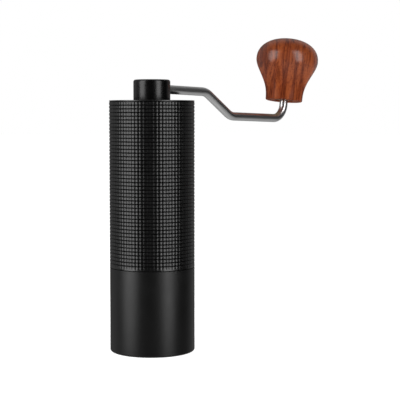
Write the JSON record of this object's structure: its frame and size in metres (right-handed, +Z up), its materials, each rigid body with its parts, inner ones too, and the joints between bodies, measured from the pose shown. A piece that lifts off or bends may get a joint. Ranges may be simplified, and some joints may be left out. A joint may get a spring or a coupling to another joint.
{
  "type": "hand crank coffee grinder",
  "caption": "Slim cylindrical hand coffee grinder with a knurled grip barrel, screw-on grounds cup, lift-off lid, bent steel crank arm and a turned wooden knob.",
  "frame": {"origin": "centre of the grounds cup's flat bottom", "axes": "+Z up along the crank's axis, +X along the crank arm at rest"},
  "size_m": [0.1725, 0.052, 0.1966],
  "materials": {
    "grip_barrel": "black anodised, finely knurled",
    "grounds_cup": "black anodised, bead blasted",
    "cup_seal_ring": "matt",
    "upper_bearing_outer_race": "ground",
    "upper_bearing_inner_race": "ground",
    "upper_bearing_ball_cage": "polished balls in a pressed cage",
    "lower_bearing_outer_race": "ground",
    "lower_bearing_inner_race": "ground",
    "lower_bearing_ball_cage": "polished balls in a pressed cage",
    "upper_bearing_bridge": "cast, blasted",
    "lower_bearing_bridge": "cast, blasted",
    "drive_shaft": "turned and ground",
    "shaft_circlip": "spring steel",
    "spring_washer": "plain",
    "burr_spring": "spring wire",
    "inner_burr": "machined and hardened",
    "burr_ring": "machined and hardened",
    "burr_screw_1": "cap screw",
    "burr_screw_2": "cap screw",
    "burr_screw_3": "cap screw",
    "click_plate": "stamped",
    "adjustment_dial": "turned, clear anodised",
    "click_ball": "polished",
    "click_spring": "spring wire",
    "hopper_lid": "black, satin",
    "lid_seal_ring": "matt",
    "crank_hub": "black, satin",
    "hub_liner": "sintered",
    "hub_retaining_ring": "spring steel",
    "arm_set_screw": "blackened",
    "crank_arm": "bent rod, brushed along its length",
    "knob": "turned rosewood, gloss lacquer",
    "knob_bush": "turned",
    "knob_circlip": "spring steel"
  },
  "bodies": {
    "barrel": {"grip_barrel": "grip_barrel", "upper_bearing_bridge": "upper_bearing_bridge", "lower_bearing_bridge": "lower_bearing_bridge", "upper_bearing_outer_race": "upper_bearing_outer_race", "lower_bearing_outer_race": "lower_bearing_outer_race", "burr_ring": "burr_ring", "burr_screw_1": "burr_screw_1", "burr_screw_2": "burr_screw_2", "burr_screw_3": "burr_screw_3"},
    "upper_cage": {"upper_bearing_ball_cage": "upper_bearing_ball_cage"},
    "lower_cage": {"lower_bearing_ball_cage": "lower_bearing_ball_cage"},
    "shaft": {"drive_shaft": "drive_shaft", "upper_bearing_inner_race": "upper_bearing_inner_race", "lower_bearing_inner_race": "lower_bearing_inner_race", "shaft_circlip": "shaft_circlip", "spring_washer": "spring_washer", "burr_spring": "burr_spring"},
    "burr": {"inner_burr": "inner_burr", "click_plate": "click_plate"},
    "dial": {"adjustment_dial": "adjustment_dial", "click_ball": "click_ball", "click_spring": "click_spring"},
    "lid": {"hopper_lid": "hopper_lid", "lid_seal_ring": "lid_seal_ring"},
    "crank": {"crank_hub": "crank_hub", "hub_liner": "hub_liner", "hub_retaining_ring": "hub_retaining_ring", "arm_set_screw": "arm_set_screw", "crank_arm": "crank_arm", "knob_circlip": "knob_circlip"},
    "knob": {"knob": "knob", "knob_bush": "knob_bush"},
    "cup_seal": {"cup_seal_ring": "cup_seal_ring"},
    "cup": {"grounds_cup": "grounds_cup"}
  },
  "joints": [
    {"name": "lid_lift", "type": "slide", "parent": "barrel", "child": "lid", "axis": [0, 0, 1], "range_m": [0, 0.06]},
    {"name": "crank_turn", "type": "hinge", "parent": "lid", "child": "crank", "pos_m": [0, 0, 0.16], "axis": [0, 0, -1], "continuous": true},
    {"name": "knob_spin", "type": "hinge", "parent": "crank", "child": "knob", "pos_m": [0.12227, 0, 0.15423], "axis": [0.1184, 0, 0.993], "continuous": true},
    {"name": "shaft_spin", "type": "hinge", "parent": "barrel", "child": "shaft", "pos_m": [0, 0, 0.1], "axis": [0, 0, -1], "continuous": true},
    {"name": "upper_cage_spin", "type": "hinge", "parent": "barrel", "child": "upper_cage", "pos_m": [0, 0, 0.13465], "axis": [0, 0, -1], "continuous": true},
    {"name": "lower_cage_spin", "type": "hinge", "parent": "barrel", "child": "lower_cage", "pos_m": [0, 0, 0.07315], "axis": [0, 0, -1], "continuous": true},
    {"name": "burr_slide", "type": "slide", "parent": "shaft", "child": "burr", "axis": [0, 0, 1], "range_m": [0, 0.0025], "deforming": ["burr_spring"]},
    {"name": "dial_turn", "type": "hinge", "parent": "burr", "child": "dial", "pos_m": [0, 0, 0.036], "axis": [0, 0, 1], "range_deg": [0, 900]},
    {"name": "cup_drop", "type": "slide", "parent": "barrel", "child": "cup_seal", "axis": [0, 0, -1], "range_m": [0, 0.009]},
    {"name": "cup_turn", "type": "hinge", "parent": "cup_seal", "child": "cup", "pos_m": [0, 0, 0.025], "axis": [0, 0, -1], "range_deg": [0, 1080]}
  ],
  "couplings": [
    {"joint": "shaft_spin", "follows": "crank_turn", "ratio": 1},
    {"joint": "upper_cage_spin", "follows": "crank_turn", "ratio": 0.39},
    {"joint": "lower_cage_spin", "follows": "crank_turn", "ratio": 0.39},
    {"joint": "dial_turn", "follows": "burr_slide", "rad_per_m": 6283.2},
    {"joint": "cup_turn", "follows": "cup_drop", "rad_per_m": 2094.4}
  ]
}
